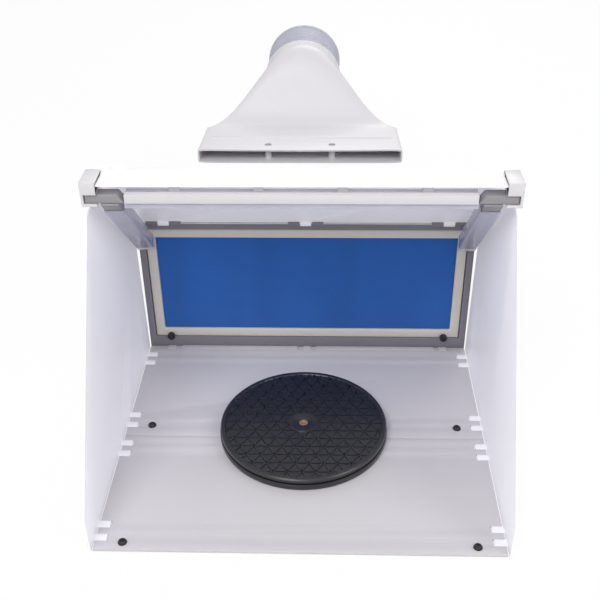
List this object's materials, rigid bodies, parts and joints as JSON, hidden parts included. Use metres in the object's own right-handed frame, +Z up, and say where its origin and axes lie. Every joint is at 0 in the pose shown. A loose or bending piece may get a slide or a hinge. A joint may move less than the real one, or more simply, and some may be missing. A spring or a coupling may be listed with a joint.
{
  "type": "portable spray booth",
  "caption": "Fold-out spray booth with fan housing, blue filter, translucent walls and hood, light frame, turntable and flat exhaust duct adapter.",
  "frame": {"origin": "on the table surface, under the middle of the base", "axes": "+Z up, +Y from the open front towards the fan housing and the exhaust, +X to the right seen from the front"},
  "size_m": [0.42, 0.8515, 0.3142],
  "materials": {
    "base_plastic": "satin moulded, pale warm grey",
    "housing_grey": "satin, dark grey",
    "housing_light": "satin, light grey",
    "rubber_black": "matte",
    "turntable_black": "semi-gloss black",
    "steel": "bright",
    "brass": "worn copper-brass",
    "filter_card": "cream, satin",
    "filter_blue": "blue felted fibre",
    "clear_white_sheet": "translucent white sheet",
    "bar_plastic": "satin, light grey",
    "bar_end_grey": "satin, mid grey",
    "diffuser": "clear lavender",
    "led_board": "white solder mask",
    "fan_black": "moulded black",
    "motor_metal": "zinc grey",
    "duct_plastic": "satin, pale grey",
    "hose_plastic": "translucent blue-grey"
  },
  "bodies": {
    "booth": {"base_bumpers": "rubber_black", "base_front_panel": "base_plastic", "base_rear_panel": "base_plastic", "bearing_bracket": "motor_metal", "board_posts": "led_board", "control_panel": "fan_black", "driver_board": "led_board", "exhaust_spigot": "housing_light", "fan_bearing": "steel", "fan_motor": "motor_metal", "fan_scroll": "fan_black", "fan_tongue": "fan_black", "filter_frame": "filter_card", "filter_grille": "fan_black", "filter_pad": "filter_blue", "filter_retainers": "rubber_black", "hood_hinge_pin": "steel", "housing_back_panel": "housing_light", "housing_casing": "housing_light", "housing_front_frame": "housing_grey", "housing_screws": "steel", "motor_bracket": "motor_metal", "power_inlet": "fan_black", "turntable_balls": "steel", "turntable_feet": "rubber_black", "turntable_lower_disc": "turntable_black", "turntable_spindle": "steel"},
    "hood": {"hood_rear_panel": "clear_white_sheet", "hood_front_panel": "clear_white_sheet", "light_bar": "bar_plastic", "bar_cap_left": "bar_end_grey", "bar_cap_right": "bar_end_grey", "bar_diffuser": "diffuser", "bar_led_strip": "led_board", "arm_tube_left": "diffuser", "arm_socket_left": "bar_end_grey", "arm_foot_left": "bar_plastic", "arm_led_strip_left": "led_board", "arm_tube_right": "diffuser", "arm_socket_right": "bar_end_grey", "arm_foot_right": "bar_plastic", "arm_led_strip_right": "led_board"},
    "latch_left": {"latch_left": "bar_plastic"},
    "latch_right": {"latch_right": "bar_plastic"},
    "wall_left": {"wall_left": "clear_white_sheet"},
    "wall_right": {"wall_right": "clear_white_sheet"},
    "turntable": {"turntable_upper_disc": "turntable_black", "turntable_screw": "brass"},
    "fan": {"fan_impeller": "fan_black", "fan_shaft": "steel"},
    "fan_rocker": {"fan_rocker": "fan_black"},
    "light_rocker": {"light_rocker": "fan_black"},
    "duct": {"duct_mouth": "duct_plastic", "duct_neck": "duct_plastic", "duct_collar": "duct_plastic", "duct_hose": "hose_plastic", "duct_hose_cuff": "hose_plastic"}
  },
  "joints": [
    {"name": "hood_lift", "type": "hinge", "parent": "booth", "child": "hood", "pos_m": [0, 0.1654, 0.1825], "axis": [-1, 0, 0], "range_deg": [0, 90]},
    {"name": "latch_left_slide", "type": "slide", "parent": "hood", "child": "latch_left", "axis": [-1, 0, 0], "range_m": [0, 0.014]},
    {"name": "latch_right_slide", "type": "slide", "parent": "hood", "child": "latch_right", "axis": [1, 0, 0], "range_m": [0, 0.014]},
    {"name": "wall_left_fold", "type": "hinge", "parent": "booth", "child": "wall_left", "pos_m": [-0.2019, 0, 0.0015], "axis": [0, -1, 0], "range_deg": [0, 88]},
    {"name": "wall_right_fold", "type": "hinge", "parent": "booth", "child": "wall_right", "pos_m": [0.2019, 0, 0.0015], "axis": [0, 1, 0], "range_deg": [0, 88]},
    {"name": "turntable_spin", "type": "hinge", "parent": "booth", "child": "turntable", "pos_m": [0, 0.0058, 0.013], "axis": [0, 0, 1], "continuous": true},
    {"name": "fan_spin", "type": "hinge", "parent": "booth", "child": "fan", "pos_m": [-0.014, 0.245, 0.088], "axis": [1, 0, 0], "continuous": true},
    {"name": "fan_switch_tip", "type": "hinge", "parent": "booth", "child": "fan_rocker", "pos_m": [0.13, 0.309, 0.04], "axis": [0, 0, 1], "range_deg": [-7, 7]},
    {"name": "light_switch_tip", "type": "hinge", "parent": "booth", "child": "light_rocker", "pos_m": [0.098, 0.309, 0.04], "axis": [0, 0, 1], "range_deg": [-7, 7]},
    {"name": "duct_slide", "type": "slide", "parent": "booth", "child": "duct", "axis": [0, 1, 0], "range_m": [-0.087, 0]}
  ]
}
